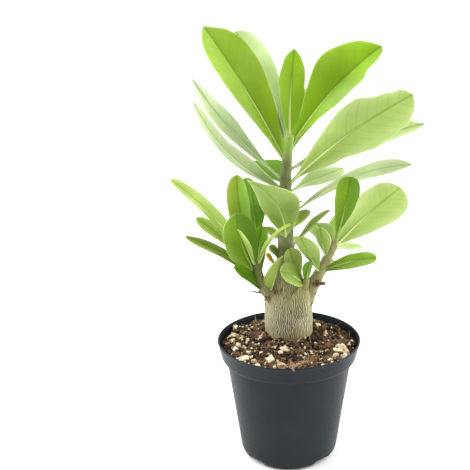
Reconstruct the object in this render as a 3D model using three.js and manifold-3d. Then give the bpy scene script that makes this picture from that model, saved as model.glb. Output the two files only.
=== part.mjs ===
// A young desert rose in a round nursery pot. Millimetres, +Z up, the pot's axis through the origin, +X right and
// -Y towards whoever looks at its front.
import * as THREE from "three";
import { mergeVertices } from "three/addons/utils/BufferGeometryUtils.js";
import Module from "manifold-3d";

// Pot: a 12 cm thin-walled plastic one with a deep collar.
const POT_HEIGHT = 103.5;
const RIM_RADIUS = 60;
const STEP_TOP = 90.7;
const STEP_TOP_RADIUS = 57;
const STEP_FOOT = 86.3;
const STEP_FOOT_RADIUS = 52.6;
const BODY_FOOT = 6;
const BODY_FOOT_RADIUS = 41.4;
const BASE_RADIUS = 36;
const WALL = 1.4;
const POT_SIDES = 40;
const DRAIN_SLOTS = 4;
const SLOT_RADIUS = 4.5;
const SLOT_LENGTH = 12;

// Soil
const GAP = 0.3;
const SOIL_LEVEL = 97;
const MOUND = 4.5;
const MOUND_REACH = 14;
const CRUMBS = 54;
const CRUMBS_REACH = 54;
const GOLDEN_TURN = 2.39996;
const TRUNK_Y = 18;

// Leaf blades
const BLADE = 0.8;
const RIB = 1.3;
const PETIOLE_HALF = 1.5;
const SUNK = 1.5;

// Trunk and branches, as the centre x, y, z of each round section and its radius.
const STEMS = {
  leader: [
    [0, 18, 84, 19.5], [0, 18, 100, 20.5], [-0.5, 18, 120, 20.5], [-1, 18, 134, 19.5], [-1.5, 18, 142, 15.5],
    [-2, 17.5, 152, 10.5], [-2.4, 17, 165, 8.2], [-2.6, 16, 191, 6.3], [-2.8, 14, 234, 4.9], [-1.7, 13, 251, 4.2],
    [0.8, 12, 272, 3.2],
  ],
  left: [[-8, 15, 124, 7], [-18, 12, 140, 6], [-25, 10, 152, 5], [-27, 9, 166, 4]],
  right: [[8, 15, 124, 11], [17, 11, 142, 7.5], [27, 8, 162, 4.8], [35, 5, 180, 4], [37, 4, 188, 3.4]],
  front: [[5, 10, 122, 12], [8, 5, 134, 9.5], [11, 1, 143, 6], [12, 0, 147, 4.2], [14, -5, 157, 3]],
};
const SIDES = { leader: 24, left: 12, right: 12, front: 10 };

// Dried twig stubs: x, y, z, turn, rise, length, radius at the foot and at the tip.
const STUBS = [
  [21, 6, 150, 325, 8, 12, 3, 1.4],
  [-14, 8, 133, 215, -4, 9, 2.4, 1],
];

// Leaves: name, the stem it grows from, height of its foot, turn from +X and rise in degrees, length, width, how far
// it bends down and sways round along its length, how far it rolls about its midrib, its fold and wave, where it is
// widest, how blunt its tip is and how much narrower its right half is.
const LEAVES = [
  ["crown_leaf_1", "leader", 253, 159, 56, 123, 44, 6, -16, -34, 34, 0.8, 0.67, 0.6, 0],
  ["crown_leaf_2", "leader", 262, 124, 48, 117, 26, 16, -30, -38, 23, 0.8, 0.7, 0.5, 0],
  ["crown_leaf_3", "leader", 271, 84, 61, 75, 24, 0, 14, 14, 12, 0.6, 0.58, 0.62, 0],
  ["crown_leaf_4", "leader", 264, 18, 45, 108, 46, 20, 14, 42, 32, 2, 0.68, 0.7, 0.05],
  ["crown_leaf_5", "leader", 233, 337, 38, 126, 45, 16, -8, -66, 4, 1.4, 0.68, 0.8, 0.08],
  ["crown_leaf_6", "leader", 245, 13, 16, 118, 34, 8, 0, 40, 20, 1, 0.7, 0.5, 0],
  ["crown_leaf_7", "leader", 226, 33, 13, 56, 26, 3, 2, 10, 8, 0.5, 0.68, 0.75, 0],
  ["crown_leaf_8", "leader", 229, 185, 46, 100, 26, -40, 22, 43, 22, 0.5, 0.66, 0.4, 0],
  ["crown_leaf_9", "leader", 237, 169, 47, 107, 14, -18, -8, -83, 28, 0.8, 0.72, 0.47, 0],
  ["crown_leaf_10", "leader", 232, 115, 11, 51, 32, 6, 0, 0, 10, 0.5, 0.7, 0.5, 0],
  ["crown_leaf_11", "leader", 187, 241, 49, 79, 39, 37, 56, 10, 26, 0.5, 0.6, 0.48, -0.08],
  ["crown_leaf_12", "leader", 205, 14, 20, 114, 22, 43, 0, -50, 0, 0.5, 0.68, 0.8, 0],
  ["crown_leaf_13", "leader", 190, 63, 17, 37, 14, 6, 0, 0, 10, 0.4, 0.7, 0.5, 0],
  ["crown_leaf_14", "leader", 179, 9, 43, 43, 14, 6, 0, 0, 30, 0.4, 0.7, 0.5, 0],
  ["crown_leaf_15", "leader", 183, 133, 17, 23, 12, 6, 0, 0, 10, 0.3, 0.7, 0.5, 0],
  ["crown_leaf_19", "leader", 168, 206, 55, 16, 8, 30, 0, -60, 24, 0.3, 0.7, 0.5, 0],
  ["crown_leaf_20", "leader", 160, 211, 52, 19, 8, 0, 0, -40, 14, 0.3, 0.75, 0.5, 0],
  ["left_leaf_1", "left", 154, 192, 35, 69, 13, 20, 0, -30, 24, 0.4, 0.58, 0.45, 0],
  ["left_leaf_2", "left", 144, 224, 42, 39, 15, 12, 4, -45, 14, 0.3, 0.58, 0.48, 0],
  ["left_leaf_3", "left", 166, 161, 42, 99, 16, 21, 0, 70, 14, 0.4, 0.66, 0.5, 0],
  ["left_leaf_4", "left", 161, 162, 38, 65, 14, 14, 0, -20, 10, 0.4, 0.76, 0.56, 0],
  ["left_leaf_5", "left", 160, 203, 74, 54, 32, -30, 5, -78, 6, 0.4, 0.62, 0.62, 0],
  ["left_leaf_6", "left", 166, 69, 70, 31, 14, 8, 0, 0, 10, 0.4, 0.7, 0.5, 0],
  ["left_leaf_7", "left", 165, 240, 58, 44, 10, 8, 0, -20, 20, 0.3, 0.7, 0.5, 0],
  ["left_leaf_8", "left", 166, 316, 49, 56, 12, 40, 0, 20, 20, 0.3, 0.7, 0.5, 0],
  ["left_leaf_9", "left", 158, 47, 71, 21, 8, 6, 0, -20, 20, 0.3, 0.7, 0.5, 0],
  ["left_leaf_10", "left", 141, 311, 66, 40, 13, 6, 0, -10, 32, 0.3, 0.36, 0.85, -0.3],
  ["left_leaf_11", "left", 156, 122, 70, 85, 21, -25, 15, -45, 28, 0.4, 0.74, 0.5, 0],
  ["left_leaf_12", "left", 160, 98, 46, 89, 28, 20, -8, 30, 8, 0.5, 0.78, 0.68, 0],
  ["right_leaf_1", "right", 187, 36, 75, 54, 20, -12, -8, 42, 16, 0.4, 0.75, 0.36, 0],
  ["right_leaf_2", "right", 183, 332, 46, 78, 41, 10, 0, -56, -6, 0.6, 0.72, 0.46, 0],
  ["right_leaf_3", "right", 180, 42, -8, 33, 12, 6, 0, 20, 10, 0.3, 0.7, 0.5, 0],
  ["right_leaf_4", "right", 161, 336, 21, 48, 13, 18, 0, 58, 17, 0.4, 0.63, 0.42, 0],
  ["right_leaf_5", "right", 181, 108, 17, 37, 24, 6, 0, 0, 10, 0.4, 0.7, 0.5, 0],
  ["right_leaf_6", "right", 173, 231, 74, 29, 16, 6, 0, 0, 10, 0.3, 0.7, 0.5, 0],
  ["right_leaf_7", "right", 160, 246, 47, 58, 20, 6, 0, 0, 16, 0.3, 0.7, 0.5, 0],
  ["right_leaf_8", "right", 165, 62, -5, 18, 10, 6, 0, 30, 16, 0.3, 0.7, 0.5, 0],
  ["crown_leaf_16", "leader", 247, 104, 27, 98, 34, 20, 0, 0, 16, 0.8, 0.7, 0.55, 0],
  ["crown_leaf_17", "leader", 256, 64, 30, 103, 34, 20, 0, 0, 16, 0.8, 0.7, 0.55, 0],
  ["crown_leaf_18", "leader", 212, 88, -14, 62, 28, 20, 0, 0, 14, 0.6, 0.7, 0.55, 0],
  ["left_leaf_13", "left", 150, 105, 43, 66, 20, 20, 0, 0, 14, 0.4, 0.7, 0.5, 0],
  ["right_leaf_9", "right", 170, 68, 24, 64, 22, 20, 0, 0, 14, 0.4, 0.7, 0.5, 0],
  ["front_leaf_1", "front", 146, 162, 75, 36, 19, 6, 0, -30, 16, 0.3, 0.75, 0.5, 0],
  ["front_leaf_2", "front", 153, 216, 35, 28, 20, 30, 0, -52, 14, 0.3, 0.58, 0.5, 0],
  ["front_leaf_3", "front", 152, 295, 77, 23, 9, 6, 0, 0, 16, 0.3, 0.7, 0.5, 0],
];

const DEG = Math.PI / 180;
const wasm = await Module();
wasm.setup();

// A closed geometry as a solid that can be joined and cut.
function solidOf(geometry) {
  const bare = geometry.clone();
  bare.deleteAttribute("normal");
  bare.deleteAttribute("uv");
  const merged = mergeVertices(bare, 1e-4);
  const mesh = new wasm.Mesh({
    numProp: 3,
    vertProperties: merged.attributes.position.array,
    triVerts: new Uint32Array(merged.index.array),
  });
  return new wasm.Manifold(mesh);
}

function geometryOf(solid) {
  const { vertProperties, triVerts, numProp } = solid.getMesh();
  const points = [];
  for (let i = 0; i < vertProperties.length; i += numProp) {
    points.push(vertProperties[i], vertProperties[i + 1], vertProperties[i + 2]);
  }
  const geometry = new THREE.BufferGeometry();
  geometry.setAttribute("position", new THREE.Float32BufferAttribute(points, 3));
  geometry.setIndex([...triVerts]);
  return geometry.toNonIndexed();
}

function meshOf(name, solid, colour, roughness) {
  const geometry = geometryOf(solid);
  geometry.computeVertexNormals();
  const material = new THREE.MeshStandardMaterial({ color: colour, roughness, metalness: 0 });
  const mesh = new THREE.Mesh(geometry, material);
  mesh.name = name;
  return mesh;
}

// A profile of [radius, height] pairs turned about the upright axis.
function turned(profile, sides) {
  const points = profile.map(([radius, height]) => new THREE.Vector2(radius, height));
  return new THREE.LatheGeometry(points, sides).rotateX(Math.PI / 2);
}

// Random draws that come out the same in every run.
function drawsFrom(seed) {
  let state = seed;
  return (low, high) => {
    state = (state * 1664525 + 1013904223) % 4294967296;
    return low + ((high - low) * state) / 4294967296;
  };
}

// Stems

function stemAt(name, height) {
  const points = STEMS[name];
  let i = 1;
  while (i < points.length - 1 && points[i][2] < height) i += 1;
  const [from, to] = [points[i - 1], points[i]];
  const part = THREE.MathUtils.clamp((height - from[2]) / (to[2] - from[2]), 0, 1);
  return from.map((value, k) => THREE.MathUtils.lerp(value, to[k], part));
}

// A stem turned on a lathe, then leant along its centre line.
function stemSolid(name, grow) {
  const points = STEMS[name];
  const first = points[0];
  const last = points[points.length - 1];
  const profile = points.map(([, , z, radius]) => [radius + grow, z]);
  profile[0][1] -= grow;
  profile.unshift([0, first[2] - grow]);
  profile.push([last[3] * 0.6 + grow, last[2] + 1.6], [0, last[2] + 2.2 + grow]);
  const geometry = turned(profile, SIDES[name]);
  const at = geometry.attributes.position;
  for (let i = 0; i < at.count; i += 1) {
    const [x, y] = stemAt(name, at.getZ(i));
    at.setXY(i, at.getX(i) + x, at.getY(i) + y);
  }
  return solidOf(geometry);
}

function heading(turn, rise) {
  return new THREE.Vector3(
    Math.cos(rise * DEG) * Math.cos(turn * DEG),
    Math.cos(rise * DEG) * Math.sin(turn * DEG),
    Math.sin(rise * DEG),
  );
}

function stubSolid([x, y, z, turn, rise, length, foot, tip], grow) {
  const geometry = new THREE.CylinderGeometry(tip + grow, foot + grow, length + grow, 7);
  geometry.translate(0, length / 2, 0);
  const turnTo = new THREE.Quaternion().setFromUnitVectors(new THREE.Vector3(0, 1, 0), heading(turn, rise));
  geometry.applyQuaternion(turnTo).translate(x, y, z);
  return solidOf(geometry);
}

// The whole woody plant, which grew as one piece.
function plantSolid(grow) {
  const stems = Object.keys(STEMS).map((name) => stemSolid(name, grow));
  const stubs = STUBS.map((stub) => stubSolid(stub, grow));
  return [...stems, ...stubs].reduce((whole, piece) => whole.add(piece));
}

// Leaves

function leafFrom(row) {
  const [name, stem, foot, turn, rise, length, width, bend, sway, roll, fold, wave, peak, blunt, skew] = row;
  return { name, stem, foot, turn, rise, length, width, bend, sway, roll, fold, wave, peak, blunt, skew };
}

function leafHeading(leaf, t) {
  return [leaf.turn + leaf.sway * (0.5 - t), leaf.rise + leaf.bend * (0.5 - t)];
}

// The midrib's point at t from the foot, 0, to the tip, 1.
function midrib(leaf, t) {
  const [x, y, z, radius] = stemAt(leaf.stem, leaf.foot);
  const point = new THREE.Vector3(x, y, z);
  point.addScaledVector(heading(leaf.turn + leaf.sway / 2, 0), Math.max(0, radius - SUNK));
  const steps = 24;
  for (let i = 0; i < steps; i += 1) {
    const [turn, rise] = leafHeading(leaf, ((i + 0.5) / steps) * t);
    point.addScaledVector(heading(turn, rise), (leaf.length * t) / steps);
  }
  return point;
}

// Half the blade's width: a narrow foot, widest at the peak, round or blunt at the tip.
function halfWidth(leaf, t, v) {
  const { peak, blunt } = leaf;
  const foot = (blunt * peak) / (1 - peak);
  const shape = (t / peak) ** foot * (Math.max(0, 1 - t) / (1 - peak)) ** blunt;
  return Math.max((leaf.width / 2) * shape * (1 - leaf.skew * v), PETIOLE_HALF - 1.1 * t);
}

// A point of the blade: t along it, v from -1 at its left edge to 1 at its right, face 1 above and -1 below.
function bladePoint(leaf, t, v, face) {
  const [turn, rise] = leafHeading(leaf, t);
  const up = heading(turn, rise + 90);
  const side = heading(turn - 90, 0);
  const roll = leaf.roll * DEG;
  const across = side.clone().multiplyScalar(Math.cos(roll)).addScaledVector(up, -Math.sin(roll));
  const normal = up.clone().multiplyScalar(Math.cos(roll)).addScaledVector(side, Math.sin(roll));
  const half = halfWidth(leaf, t, v);
  const fold = leaf.fold * DEG * (1 - 0.45 * t);
  const phase = v > 0 ? 0 : 0.35;
  const wave = leaf.wave * Math.sin(2 * Math.PI * (1.6 * t + phase)) * v * v * Math.min(1, 4 * t);
  const rib = face < 0 ? RIB * (1 - t) ** 1.5 * Math.max(0, 1 - 2 * Math.abs(v)) : 0;
  return midrib(leaf, t)
    .addScaledVector(across, half * v * Math.cos(fold))
    .addScaledVector(normal, half * Math.abs(v) * Math.sin(fold) + wave + face * (BLADE / 2 + rib));
}

// A closed blade: one grid of triangles above, the same ones turned over below, and a rim between them.
function bladeSolid(leaf) {
  const strips = leaf.width > 17 ? 4 : 2;
  const rows = leaf.length > 60 ? 9 : 6;
  const grid = new THREE.PlaneGeometry(1, 1, strips, rows);
  const count = grid.attributes.uv.count;
  const points = [];
  for (const face of [1, -1]) {
    for (let i = 0; i < count; i += 1) {
      const t = 1 - (1 - grid.attributes.uv.getY(i)) ** 1.6;
      const v = 2 * grid.attributes.uv.getX(i) - 1;
      points.push(...bladePoint(leaf, t, v, face));
    }
  }
  const above = [...grid.index.array];
  const below = above.map((i) => i + count).reverse();
  const across = strips + 1;
  const rim = [];
  for (let i = 0; i < strips; i += 1) rim.push(i);
  for (let i = 0; i < rows; i += 1) rim.push(i * across + strips);
  for (let i = strips; i > 0; i -= 1) rim.push(rows * across + i);
  for (let i = rows; i > 0; i -= 1) rim.push(i * across);
  const sides = rim.flatMap((from, k) => {
    const to = rim[(k + 1) % rim.length];
    return [from, to, to + count, from, to + count, from + count];
  });
  const geometry = new THREE.BufferGeometry();
  geometry.setAttribute("position", new THREE.Float32BufferAttribute(points, 3));
  geometry.setIndex([...above, ...below, ...sides]);
  return solidOf(geometry);
}

function largest(solid) {
  const pieces = solid.decompose();
  return pieces.reduce((best, piece) => (piece.volume() > best.volume() ? piece : best));
}

// Pot and soil

// Radius of the pot's tapered body, outside, at a height.
function bodyRadius(z) {
  return THREE.MathUtils.mapLinear(z, BODY_FOOT, STEP_FOOT, BODY_FOOT_RADIUS, STEP_FOOT_RADIUS);
}

function collarRadius(z) {
  return THREE.MathUtils.mapLinear(z, STEP_TOP, POT_HEIGHT, STEP_TOP_RADIUS, RIM_RADIUS);
}

// What fills the pot's inside, with a given gap to its wall and a given height.
function filling(gap, top) {
  const inset = WALL + gap;
  const [stepFoot, stepTop] = [STEP_FOOT + inset / 2, STEP_TOP + inset / 2];
  return [
    [0, inset],
    [BASE_RADIUS - gap, inset],
    [BODY_FOOT_RADIUS - inset, BODY_FOOT + 1 + gap],
    [bodyRadius(stepFoot) - inset, stepFoot],
    [collarRadius(stepTop) - inset, stepTop],
    [collarRadius(top) - inset, top],
    [0, top],
  ];
}

function potSolid() {
  const outside = [
    [0, 0],
    [BASE_RADIUS, 0],
    [BASE_RADIUS + 3, 1],
    [BODY_FOOT_RADIUS - 0.8, 3],
    [BODY_FOOT_RADIUS, BODY_FOOT],
    [STEP_FOOT_RADIUS, STEP_FOOT],
    [STEP_TOP_RADIUS - 0.9, STEP_TOP - 2],
    [STEP_TOP_RADIUS, STEP_TOP],
    [RIM_RADIUS, POT_HEIGHT - 1],
    [RIM_RADIUS - 0.5, POT_HEIGHT],
    [0, POT_HEIGHT],
  ];
  const inside = solidOf(turned(filling(0, POT_HEIGHT + 4), POT_SIDES));
  let pot = solidOf(turned(outside, POT_SIDES)).subtract(inside);
  for (let i = 0; i < DRAIN_SLOTS; i += 1) {
    const slot = new THREE.CapsuleGeometry(SLOT_RADIUS, SLOT_LENGTH, 2, 8).translate(BASE_RADIUS + 3.5, 0, 0.8);
    pot = pot.subtract(solidOf(slot.rotateZ(((i + 0.5) / DRAIN_SLOTS) * 2 * Math.PI)));
  }
  return pot;
}

// Height of the soil: mounded round the trunk, and lumpy.
function soilHeight(x, y) {
  const away = Math.hypot(x, y - TRUNK_Y);
  const mound = MOUND * Math.exp(-(((away - 18) / MOUND_REACH) ** 2));
  const lumps = 0.8 * Math.sin(x / 4.1 + 1.3 * Math.sin(y / 6)) * Math.sin(y / 3.7 + Math.sin(x / 5));
  return SOIL_LEVEL + mound + lumps;
}

function soilSolid(hole) {
  const profile = filling(GAP, SOIL_LEVEL).slice(0, -1);
  for (const radius of [50, 43, 36, 29, 22, 0]) profile.push([radius, SOIL_LEVEL]);
  const body = turned(profile, POT_SIDES);
  const at = body.attributes.position;
  for (let i = 0; i < at.count; i += 1) {
    if (at.getZ(i) > SOIL_LEVEL - 0.01) at.setZ(i, soilHeight(at.getX(i), at.getY(i)));
  }
  let soil = solidOf(body);
  const draw = drawsFrom(12);
  for (let i = 0; i < CRUMBS; i += 1) {
    const turn = i * GOLDEN_TURN;
    const away = CRUMBS_REACH * Math.sqrt((i + 0.5) / CRUMBS);
    const size = draw(2.5, 4.6);
    const crumb = new THREE.IcosahedronGeometry(size, 0).scale(draw(0.8, 1.3), draw(0.8, 1.3), draw(0.6, 0.9));
    crumb.rotateX(draw(-0.5, 0.5)).rotateZ(draw(0, 6.28));
    const [x, y] = [away * Math.cos(turn), away * Math.sin(turn)];
    if (Math.hypot(x, y - TRUNK_Y) > 18) {
      soil = soil.add(solidOf(crumb.translate(x, y, soilHeight(x, y) + 0.2 * size)));
    }
  }
  const mould = solidOf(turned(filling(GAP, SOIL_LEVEL + 12), POT_SIDES));
  return largest(soil.intersect(mould).subtract(hole));
}

// The plant in its pot

const clearance = plantSolid(GAP);
const plant = new THREE.Group();
plant.add(meshOf("pot", potSolid(), 0x2c3134, 0.5));
plant.add(meshOf("soil", soilSolid(clearance), 0x3d2a20, 0.95));
plant.add(meshOf("stem", plantSolid(0), 0x9a9a78, 0.8));
for (const leaf of LEAVES.map(leafFrom)) {
  plant.add(meshOf(leaf.name, largest(bladeSolid(leaf).subtract(clearance)), 0x86b03c, 0.55));
}

export default plant;
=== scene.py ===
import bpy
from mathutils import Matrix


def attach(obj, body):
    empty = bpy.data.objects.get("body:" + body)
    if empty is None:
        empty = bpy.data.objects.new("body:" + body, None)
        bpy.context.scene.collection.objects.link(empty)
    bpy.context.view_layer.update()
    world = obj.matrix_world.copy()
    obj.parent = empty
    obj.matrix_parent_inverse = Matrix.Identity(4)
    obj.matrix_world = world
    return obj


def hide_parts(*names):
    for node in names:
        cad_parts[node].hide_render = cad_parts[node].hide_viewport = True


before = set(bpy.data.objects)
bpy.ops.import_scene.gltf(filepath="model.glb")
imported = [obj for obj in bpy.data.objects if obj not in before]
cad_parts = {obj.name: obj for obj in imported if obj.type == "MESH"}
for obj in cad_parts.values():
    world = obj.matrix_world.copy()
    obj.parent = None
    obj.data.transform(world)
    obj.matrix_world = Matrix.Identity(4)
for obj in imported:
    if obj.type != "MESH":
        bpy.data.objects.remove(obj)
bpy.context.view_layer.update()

import math
import random

import bmesh
import bpy
from mathutils import Matrix, Vector, noise

# Sizes are in millimetres, as the plant was measured, and go to metres when a mesh is finished.
mm = 0.001


def linear(hexColour):
    # an sRGB hex colour as Blender's linear one
    parts = [int(hexColour[i:i + 2], 16) / 255 for i in (1, 3, 5)]
    return (*(c / 12.92 if c <= 0.04045 else ((c + 0.055) / 1.055) ** 2.4 for c in parts), 1.0)


def addNode(tree, kind, inputs=(), take=0, **settings):
    # one node: a value or a link for each input, by place or by name, then its settings; gives the output to take
    node = tree.nodes.new("ShaderNode" + kind)
    for key, value in settings.items():
        setattr(node, key, value)
    for key, value in (inputs if isinstance(inputs, dict) else dict(enumerate(inputs))).items():
        if isinstance(value, bpy.types.NodeSocket):
            tree.links.new(value, node.inputs[key])
        elif value is not None:
            node.inputs[key].default_value = value
    return node.outputs[take]


def blend(tree, amount, low, high):
    # from one colour to another; a Mix node's colours go in at places 6 and 7 and come out at 2
    return addNode(tree, "Mix", {0: amount, 6: low, 7: high}, 2, data_type="RGBA")


def newMaterial(name, **sockets):
    material = bpy.data.materials.new(name)
    material.use_nodes = True
    tree = material.node_tree
    surface = tree.nodes["Principled BSDF"]
    for key, value in sockets.items():
        surface.inputs[key.replace("_", " ")].default_value = value
    return material, tree, surface


def finishPiece(name, bm, material, replaced=(), sharpAngle=40):
    # a bmesh in millimetres becomes a piece of the part, in metres, on the part's one body
    bmesh.ops.scale(bm, vec=(mm, mm, mm), verts=bm.verts)
    for edge in bm.edges:
        edge.smooth = edge.calc_face_angle(0) < math.radians(sharpAngle)
    for face in bm.faces:
        face.smooth = True
    mesh = bpy.data.meshes.new(name)
    bm.to_mesh(mesh)
    bm.free()
    mesh.materials.append(material)
    piece = bpy.data.objects.new(name, mesh)
    bpy.context.scene.collection.objects.link(piece)
    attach(piece, "root")
    if replaced:
        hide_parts(*replaced)
    return piece


def baked(bm, *modifiers):
    # the same mesh with modifiers applied, given as (type, settings)
    mesh = bpy.data.meshes.new("work")
    bm.to_mesh(mesh)
    bm.free()
    work = bpy.data.objects.new("work", mesh)
    bpy.context.scene.collection.objects.link(work)
    for kind, settings in modifiers:
        modifier = work.modifiers.new(kind, kind)
        for key, value in settings.items():
            setattr(modifier, key, value)
    made = bpy.data.meshes.new_from_object(work.evaluated_get(bpy.context.evaluated_depsgraph_get()))
    bpy.data.objects.remove(work)
    result = bmesh.new()
    result.from_mesh(made)
    bpy.data.meshes.remove(made)
    return result


def spun(profile, steps):
    # a profile of [radius, height] points turned about the upright axis
    bm = bmesh.new()
    points = [bm.verts.new((radius, 0, z)) for radius, z in profile]
    edges = [bm.edges.new(pair) for pair in zip(points, points[1:])]
    bmesh.ops.spin(bm, geom=points + edges, axis=(0, 0, 1), cent=(0, 0, 0), angle=math.tau, steps=steps,
                   use_merge=True)
    bmesh.ops.remove_doubles(bm, verts=bm.verts, dist=0.001)
    bmesh.ops.recalc_face_normals(bm, faces=bm.faces)
    return bm


def between(value, low, high, atLow, atHigh):
    return atLow + (atHigh - atLow) * (value - low) / (high - low)


def smoothStep(value, low, high):
    t = min(1.0, max(0.0, (value - low) / (high - low)))
    return t * t * (3 - 2 * t)


# Camera, at the photograph's height and distance
cameraSettings = {
    "place": (1.7, -638, 391.6),
    "lookDown": 18.05,       # degrees
    "focalPixels": 825,
    "axisPixel": (291, 247),  # where the lens axis meets the 470-pixel frame
    "framePixels": 470,
}


def makeCamera(settings):
    lens = bpy.data.cameras.new("camera")
    size = settings["framePixels"]
    lens.sensor_width = 36
    lens.lens = settings["focalPixels"] / size * lens.sensor_width
    lens.shift_x = 0.5 - settings["axisPixel"][0] / size
    lens.shift_y = settings["axisPixel"][1] / size - 0.5
    lens.clip_start = 0.01
    camera = bpy.data.objects.new("camera", lens)
    camera.location = Vector(settings["place"]) * mm
    camera.rotation_euler = (math.radians(90 - settings["lookDown"]), 0, 0)
    bpy.context.scene.collection.objects.link(camera)
    bpy.context.scene.camera = camera


# Studio: a pale floor, a soft white surround that is dimmer behind the camera, and a soft lamp on each side
studio = {
    "floor": "#f6f6f5",
    "floorReach": 12000,
    "surround": "#ffffff",
    "surroundStrength": (0.3, 1.4),
    # name: place, aim, size, power in watts
    "key": ((-900, 0, 900), (0, 0, 160), 800, 15),
    "fill": ((900, 0, 600), (0, 0, 160), 800, 11),
}


def makeStudio(settings):
    bm = bmesh.new()
    bmesh.ops.create_grid(bm, x_segments=4, y_segments=4, size=settings["floorReach"] * mm)
    mesh = bpy.data.meshes.new("studio_floor")
    bm.to_mesh(mesh)
    bm.free()
    paper, tree, surface = newMaterial("whitePaper", Roughness=0.9)  # seamless matt paper: no shine, a soft shadow
    surface.inputs["Base Color"].default_value = linear(settings["floor"])
    mesh.materials.append(paper)
    floor = bpy.data.objects.new("studio_floor", mesh)
    bpy.context.scene.collection.objects.link(floor)
    world = bpy.data.worlds.new("surround")
    world.use_nodes = True
    background = world.node_tree.nodes["Background"]
    background.inputs["Color"].default_value = linear(settings["surround"])
    way = addNode(world.node_tree, "TexCoord", take="Generated")
    back = addNode(world.node_tree, "SeparateXYZ", (way,), 1)
    strength = addNode(world.node_tree, "MapRange", (back, -0.9, 0.1, *settings["surroundStrength"]))
    seen = addNode(world.node_tree, "LightPath", take="Is Camera Ray")
    strength = addNode(world.node_tree, "Math", (strength, seen), operation="MAXIMUM")
    world.node_tree.links.new(strength, background.inputs["Strength"])
    bpy.context.scene.world = world
    for name in ("key", "fill"):
        place, aim, size, power = settings[name]
        lamp = bpy.data.lights.new(name, "AREA")
        lamp.size = size * mm
        lamp.energy = power
        holder = bpy.data.objects.new(name, lamp)
        holder.location = Vector(place) * mm
        holder.rotation_euler = (Vector(place) - Vector(aim)).to_track_quat("Z", "Y").to_euler()
        bpy.context.scene.collection.objects.link(holder)
    bpy.context.scene.view_settings.view_transform = "Standard"


makeCamera(cameraSettings)
makeStudio(studio)
print("camera and studio ready")


# Pot: thin-walled, with a deep collar
pot = {
    "height": 103.5,
    "rimRadius": 60,
    "stepTop": 90.7,         # the collar's foot, where it meets the slanted step
    "stepTopRadius": 57,
    "stepFoot": 86.3,
    "stepFootRadius": 52.6,
    "bodyFoot": 6,
    "bodyFootRadius": 41.4,
    "baseRadius": 36,
    "wall": 1.4,
    "turns": 160,
    "slots": 4,
    "slotRadius": 4.5,
    "slotLength": 12,
    "colour": "#151d22",
    "rubbed": "#20282d",
}


def bodyRadius(z):
    return between(z, pot["bodyFoot"], pot["stepFoot"], pot["bodyFootRadius"], pot["stepFootRadius"])


def collarRadius(z):
    return between(z, pot["stepTop"], pot["height"], pot["stepTopRadius"], pot["rimRadius"])


def fillingProfile(gap):
    # the pot's inside wall from its floor to its collar, with a gap left to it
    inset = pot["wall"] + gap
    foot, top = pot["stepFoot"] + inset / 2, pot["stepTop"] + inset / 2
    return [(pot["baseRadius"] - gap, inset), (pot["bodyFootRadius"] - inset, 7 + gap),
            (bodyRadius(foot) - inset, foot), (collarRadius(top) - inset, top)]


def makePot():
    # the profile as (radius, height): underside and rounded edge, body, slanted step, collar, lip, inside wall
    top, rim, wall = pot["height"], pot["rimRadius"], pot["wall"]
    outside = [(0, 0), (34, 0), (pot["baseRadius"], 0.15), (38, 0.6), (39.4, 1.6), (40.6, 3.4),
               (pot["bodyFootRadius"], pot["bodyFoot"])]
    outside += [(bodyRadius(z), z) for z in range(12, 85, 8)]
    outside += [(52.45, 85.6), (pot["stepFootRadius"] + 0.1, 86.5), (53.4, 87.1), (55.2, 87.9), (56.2, 88.8),
                (56.8, 89.9), (pot["stepTopRadius"], 91.1)]
    outside += [(collarRadius(z), z) for z in (94, 97, 100)]
    lip = [(rim - 0.25, top - 1.5), (rim, top - 1), (rim - 0.05, top - 0.5), (rim - 0.35, top - 0.1),
           (rim - 0.8, top), (rim - 1.25, top - 0.15), (rim - 1.5, top - 0.6)]
    inside = [(collarRadius(z) - wall, z) for z in (101, 97, 93.5)] + fillingProfile(0)[::-1] + [(0, wall)]
    bm = spun(outside + lip + inside, pot["turns"])
    for i in range(pot["slots"]):
        slot = bmesh.new()
        bmesh.ops.create_uvsphere(slot, u_segments=24, v_segments=16, radius=pot["slotRadius"])
        for vert in slot.verts:
            vert.co.y += math.copysign(pot["slotLength"] / 2, vert.co.y) if abs(vert.co.y) > 1e-4 else 0
        bmesh.ops.translate(slot, vec=(pot["baseRadius"] + 3.5, 0, 0.8), verts=slot.verts)
        turn = (i + 0.5) / pot["slots"] * math.tau
        bmesh.ops.rotate(slot, cent=(0, 0, 0), matrix=Matrix.Rotation(turn, 3, "Z"), verts=slot.verts)
        mesh = bpy.data.meshes.new("slot")
        slot.to_mesh(mesh)
        slot.free()
        cutter = bpy.data.objects.new("slot", mesh)
        bpy.context.scene.collection.objects.link(cutter)
        bm = baked(bm, ("BOOLEAN", {"operation": "DIFFERENCE", "solver": "EXACT", "object": cutter}))
        bpy.data.objects.remove(cutter)
    return finishPiece("nursery_pot", bm, mouldedPolypropylene(), ("pot",), 30)


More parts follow.
